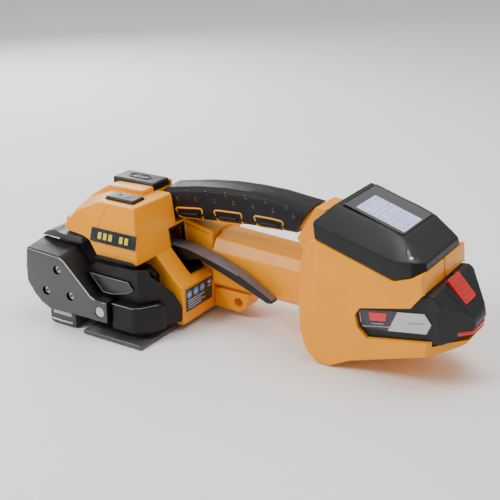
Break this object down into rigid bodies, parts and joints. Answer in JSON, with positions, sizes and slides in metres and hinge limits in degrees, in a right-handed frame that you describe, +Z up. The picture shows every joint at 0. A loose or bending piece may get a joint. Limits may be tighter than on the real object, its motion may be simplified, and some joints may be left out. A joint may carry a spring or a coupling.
{
  "type": "battery strapping tool",
  "caption": "Hand-held battery tool that tensions, friction-welds and cuts plastic strap, with a hand lever, grip, display and slide-out battery.",
  "frame": {"origin": "centre of the outline on the resting plane", "axes": "+X from the strap head to the battery, -Y the side the strap goes in, +Z up"},
  "size_m": [0.3691, 0.141, 0.1281],
  "materials": {
    "body_shell": "amber yellow moulded plastic, satin, fine texture",
    "head_cover": "graphite grey glass-filled plastic, satin",
    "lever_plastic": "grey moulded plastic with a worn satin top",
    "black_plastic": "black moulded plastic",
    "battery_plastic": "dark grey textured battery case",
    "button_grey": "grey push buttons",
    "grip_rubber": "soft black grip rubber",
    "shroud_rubber": "dark soft-touch frame",
    "screen_glass": "glossy display window",
    "lcd": "pale blue lit display",
    "circuit_board": "green circuit board",
    "release_red": "red moulded release button",
    "label_dark": "dark printed label film",
    "contact_brass": "brass contact block",
    "cast_alloy": "die-cast gear case, bead blasted",
    "steel": "machined steel"
  },
  "bodies": {
    "root": {"tension_cover": "head_cover", "cover_screw_1": "steel", "cover_screw_2": "steel", "cover_screw_3": "steel", "weld_cover": "black_plastic", "base_plate": "head_cover", "gear_case": "cast_alloy", "head_housing": "body_shell", "badge_plate": "label_dark", "info_label": "label_dark", "lever_bezel": "black_plastic", "axle_bearing": "steel", "pivot_pin": "steel", "lever_pin": "steel", "lever_spring": "steel", "handle_grip": "grip_rubber", "handle_core": "body_shell", "motor_housing": "body_shell", "motor_stator": "steel", "hanging_boss": "body_shell", "rear_housing_near": "body_shell", "rear_housing_far": "body_shell", "display_shroud": "shroud_rubber", "display_window": "screen_glass", "lcd_panel": "lcd", "control_board": "circuit_board", "contact_block": "contact_brass", "crown_shaft": "steel"},
    "wheel": {"tension_wheel": "steel", "tension_axle": "steel"},
    "rotor": {"motor_rotor": "steel"},
    "crown": {"crown_gear": "steel"},
    "eccentric": {"eccentric_shaft": "steel"},
    "shoe": {"weld_shoe": "steel"},
    "cutter": {"strap_cutter": "steel"},
    "jaw": {"rocker_jaw": "head_cover", "toothed_plate": "steel"},
    "lever": {"hand_lever": "lever_plastic"},
    "tension_key": {"tension_button": "button_grey"},
    "weld_key": {"weld_button": "button_grey"},
    "battery": {"battery_case": "battery_plastic", "battery_label": "label_dark"},
    "release": {"battery_release": "release_red"}
  },
  "joints": [
    {"name": "lever_pull", "type": "hinge", "parent": "root", "child": "lever", "pos_m": [-0.094, 0.0115, 0.056], "axis": [0, -1, 0], "range_deg": [0, 22], "stiffness_Nm_per_rad": 0.8, "springref_deg": -11.46},
    {"name": "rocker_open", "type": "hinge", "parent": "root", "child": "jaw", "pos_m": [-0.106, -0.038, 0.024], "axis": [0, -1, 0], "range_deg": [0, 8]},
    {"name": "tension_wheel_spin", "type": "hinge", "parent": "root", "child": "wheel", "pos_m": [-0.15, -0.0575, 0.0345], "axis": [0, 1, 0], "continuous": true},
    {"name": "motor_spin", "type": "hinge", "parent": "root", "child": "rotor", "pos_m": [-0.01, 0.045, 0.042], "axis": [1, 0, 0], "continuous": true},
    {"name": "crown_spin", "type": "hinge", "parent": "root", "child": "crown", "pos_m": [-0.088, 0.0354, 0.042], "axis": [0, 1, 0], "continuous": true},
    {"name": "eccentric_spin", "type": "hinge", "parent": "root", "child": "eccentric", "pos_m": [-0.086, -0.03, 0.04], "axis": [0, 1, 0], "continuous": true},
    {"name": "weld_shoe_slide", "type": "slide", "parent": "root", "child": "shoe", "axis": [1, 0, 0], "range_m": [-0.001, 0.001]},
    {"name": "cutter_slide", "type": "slide", "parent": "root", "child": "cutter", "axis": [0, 0, -1], "range_m": [0, 0.0025], "stiffness_N_per_m": 300},
    {"name": "tension_button_press", "type": "slide", "parent": "root", "child": "tension_key", "axis": [0, 0, -1], "range_m": [0, 0.0016], "stiffness_N_per_m": 500},
    {"name": "weld_button_press", "type": "slide", "parent": "root", "child": "weld_key", "axis": [0, 0, -1], "range_m": [0, 0.0016], "stiffness_N_per_m": 500},
    {"name": "battery_slide", "type": "slide", "parent": "root", "child": "battery", "axis": [0.9816, 0, 0.1908], "range_m": [0, 0.11]},
    {"name": "battery_release_press", "type": "slide", "parent": "battery", "child": "release", "axis": [-0.6, 0, -0.8], "range_m": [0, 0.001], "stiffness_N_per_m": 500}
  ],
  "couplings": [
    {"joint": "rocker_open", "follows": "lever_pull", "ratio": 0.35},
    {"joint": "crown_spin", "follows": "motor_spin", "ratio": 0.33333}
  ]
}
